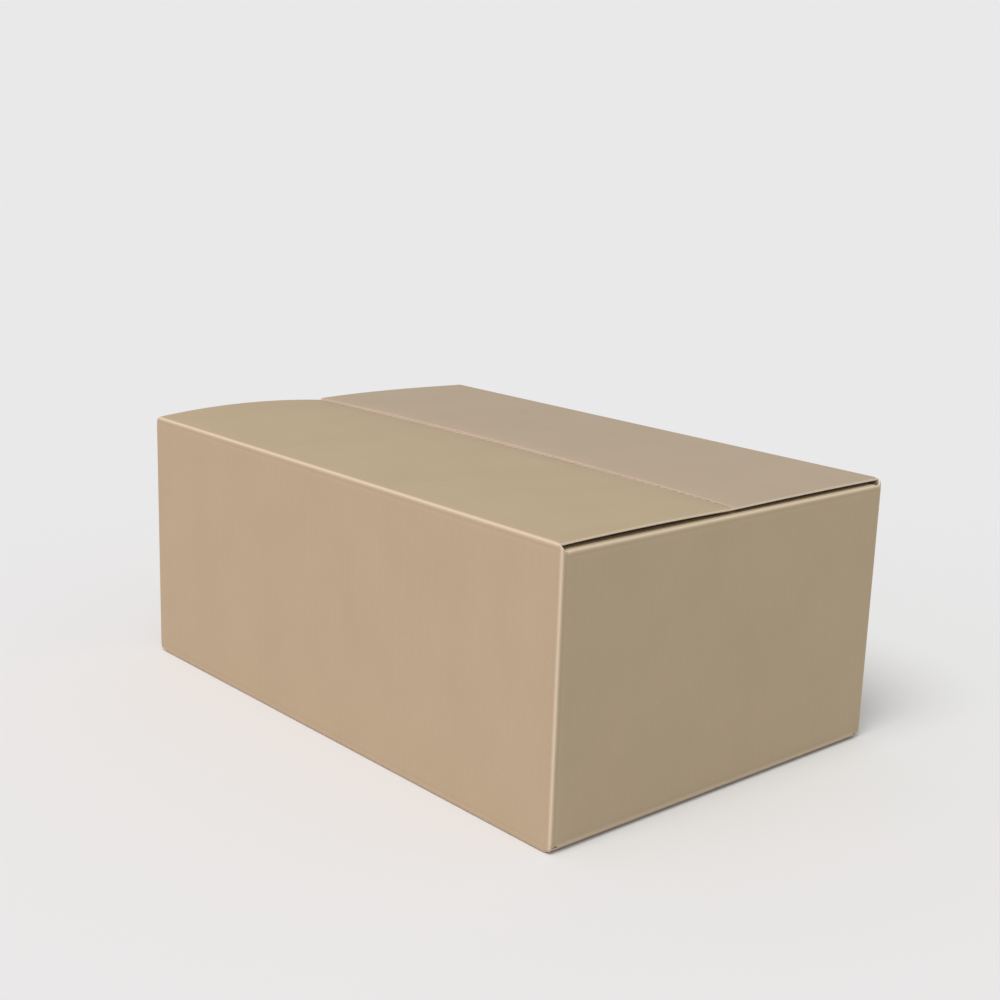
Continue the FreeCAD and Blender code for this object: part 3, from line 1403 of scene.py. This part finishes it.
@dataclass(frozen=True)
class Studio:
    """The pale floor and backdrop, the soft lights and the camera."""

    floor_size: float = 400.0
    floor_squares: int = 8
    floor_gap: float = 0.1 * MM
    floor_grey: float = 0.80
    ambient: float = 0.50
    key: Lamp = Lamp("key", towards=(0.17, -0.50, 0.85), level=0.60, spread=35.0)
    fill: Lamp = Lamp(
        "fill", towards=(-0.35, -0.93, 0.12), level=0.15, spread=30.0, color=(1.0, 0.42, 0.58),
    )
    viewpoint: Viewpoint = Viewpoint()

    def build(self) -> None:
        """Make the floor, the world, the lights and the camera."""
        self.make_floor()
        self.make_world()
        self.key.build()
        self.fill.build()
        self.viewpoint.build()

    @property
    def even_light(self) -> Vector:
        """The even light's strength in red, green and blue."""
        return Vector((self.ambient, self.ambient, self.ambient))

    @property
    def floor_light(self) -> Vector:
        """How strongly the open floor is lit in red, green and blue."""
        shining = (Vector(lamp.color) * lamp.level * lamp.direction.z for lamp in (self.key, self.fill))
        return sum(shining, self.even_light)

    def make_floor(self) -> None:
        """Lay the floor just under the carton's base."""
        grey = (self.floor_grey, self.floor_grey, self.floor_grey, 1.0)
        bm = bmesh.new()
        under = Matrix.Translation((0.0, 0.0, -self.floor_gap))
        squares, half = self.floor_squares, self.floor_size / 2.0
        bmesh.ops.create_grid(bm, x_segments=squares, y_segments=squares, size=half, matrix=under)
        mesh = bpy.data.meshes.new("studio_floor")
        bm.to_mesh(mesh)
        bm.free()
        mesh.materials.append(PlainFinish("studio_floor_paint", grey).build())
        floor = stand("studio_floor", mesh)
        floor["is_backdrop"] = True

    def make_world(self) -> None:
        """Light the world evenly, and show the camera a backdrop as bright as the open floor."""
        world = bpy.data.worlds.new("studio")
        bpy.context.scene.world = world
        tree = Tree(world)
        seen = tree.add("ShaderNodeLightPath", {}, {}, "Is Camera Ray")
        lit = tree.add("ShaderNodeBackground", {}, {"Color": (*self.even_light, 1.0)})
        shown = self.floor_light * self.floor_grey
        backdrop = tree.add("ShaderNodeBackground", {}, {"Color": (*shown, 1.0)})
        chosen = tree.add("ShaderNodeMixShader", {}, {0: seen, 1: lit, 2: backdrop})
        tree.place("ShaderNodeOutputWorld", {}, {"Surface": chosen})


def main() -> None:
    """Build the carton and the studio."""
    logging.basicConfig(level=logging.INFO, format="%(name)s %(message)s")
    bpy.context.scene.view_settings.view_transform = "Standard"
    size = CartonSize.from_frame(frame)
    board = Board(thickness=size.board)
    # The pale fourth colours serve scuffed edges and crease ridges, whose paleness is partly a painted
    # highlight; the flute strengths set the painted shade of the washboard ripple.
    outside = KraftPaper(
        "kraft_liner", dark=(0.440, 0.350, 0.231, 1.0), light=(0.490, 0.389, 0.256, 1.0),
        worn=(0.70, 0.57, 0.42, 1.0), flute_pitch=board.pitch,
    )
    inside = KraftPaper(
        "kraft_inside", dark=(0.40, 0.31, 0.21, 1.0), light=(0.48, 0.38, 0.26, 1.0),
        worn=(0.55, 0.44, 0.31, 1.0), flute_pitch=board.pitch, flute_shade=0.12,
    )
    medium = KraftPaper(
        "fluting_paper", dark=(0.40, 0.30, 0.20, 1.0), light=(0.48, 0.37, 0.25, 1.0),
        worn=(0.50, 0.39, 0.27, 1.0), flute_pitch=board.pitch, flute_shade=0.0, roughness=0.9,
    )
    edge = KraftPaper(
        "cut_edge", dark=(0.66, 0.54, 0.40, 1.0), light=(0.80, 0.67, 0.52, 1.0),
        worn=(0.80, 0.67, 0.52, 1.0), flute_pitch=board.pitch, flute_shade=0.0, roughness=0.95,
    )
    papers = {Ply.OUTER_LINER: outside, Ply.FLUTING: medium, Ply.INNER_LINER: inside}
    finishes = Finishes({ply: paper.build() for ply, paper in papers.items()}, edge.build())
    Carton(size, board).build(finishes)
    Studio().build()
    boxes = {"cad": CAD_BOX, "visual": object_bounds()}
    {name: [list(corner) for corner in box] for name, box in boxes.items()}


if __name__ == "__main__":
    main()
